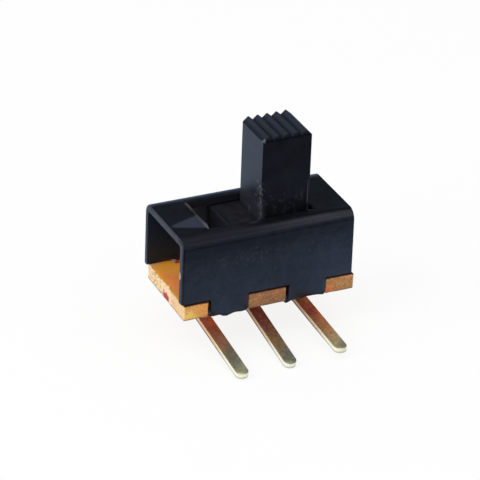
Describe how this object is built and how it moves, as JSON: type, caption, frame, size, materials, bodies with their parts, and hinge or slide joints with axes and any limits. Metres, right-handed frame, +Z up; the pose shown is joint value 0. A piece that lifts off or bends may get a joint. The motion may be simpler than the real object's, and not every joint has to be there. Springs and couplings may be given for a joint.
{
  "type": "slide switch",
  "caption": "Right-angle slide switch with a folded black steel cover, a laminate base, a tall ridged knob and flat bent terminals for a circuit board.",
  "frame": {"origin": "where the middle terminal crosses the board face, the plane of the cover's front wall", "axes": "+X along the slide towards the rest position, -Y out of the front wall along the tails, +Z up the knob"},
  "size_m": [0.0089, 0.0076, 0.0101],
  "materials": {
    "black_steel": "satin black on folded sheet steel",
    "paper_laminate": "amber phenolic paper laminate with rough edges",
    "tinned_brass": "thinly tinned, reddish near the base",
    "black_moulding": "satin black moulding",
    "spring_bronze": "bare spring strip"
  },
  "bodies": {
    "switch_body": {"housing": "black_steel", "base": "paper_laminate", "terminal_left": "tinned_brass", "terminal_middle": "tinned_brass", "terminal_right": "tinned_brass"},
    "slider_body": {"slider": "black_moulding", "contact_clip": "spring_bronze"}
  },
  "joints": [
    {"name": "slider_slide", "type": "slide", "parent": "switch_body", "child": "slider_body", "axis": [1, 0, 0], "range_m": [-0.00265, 0.00015]}
  ]
}
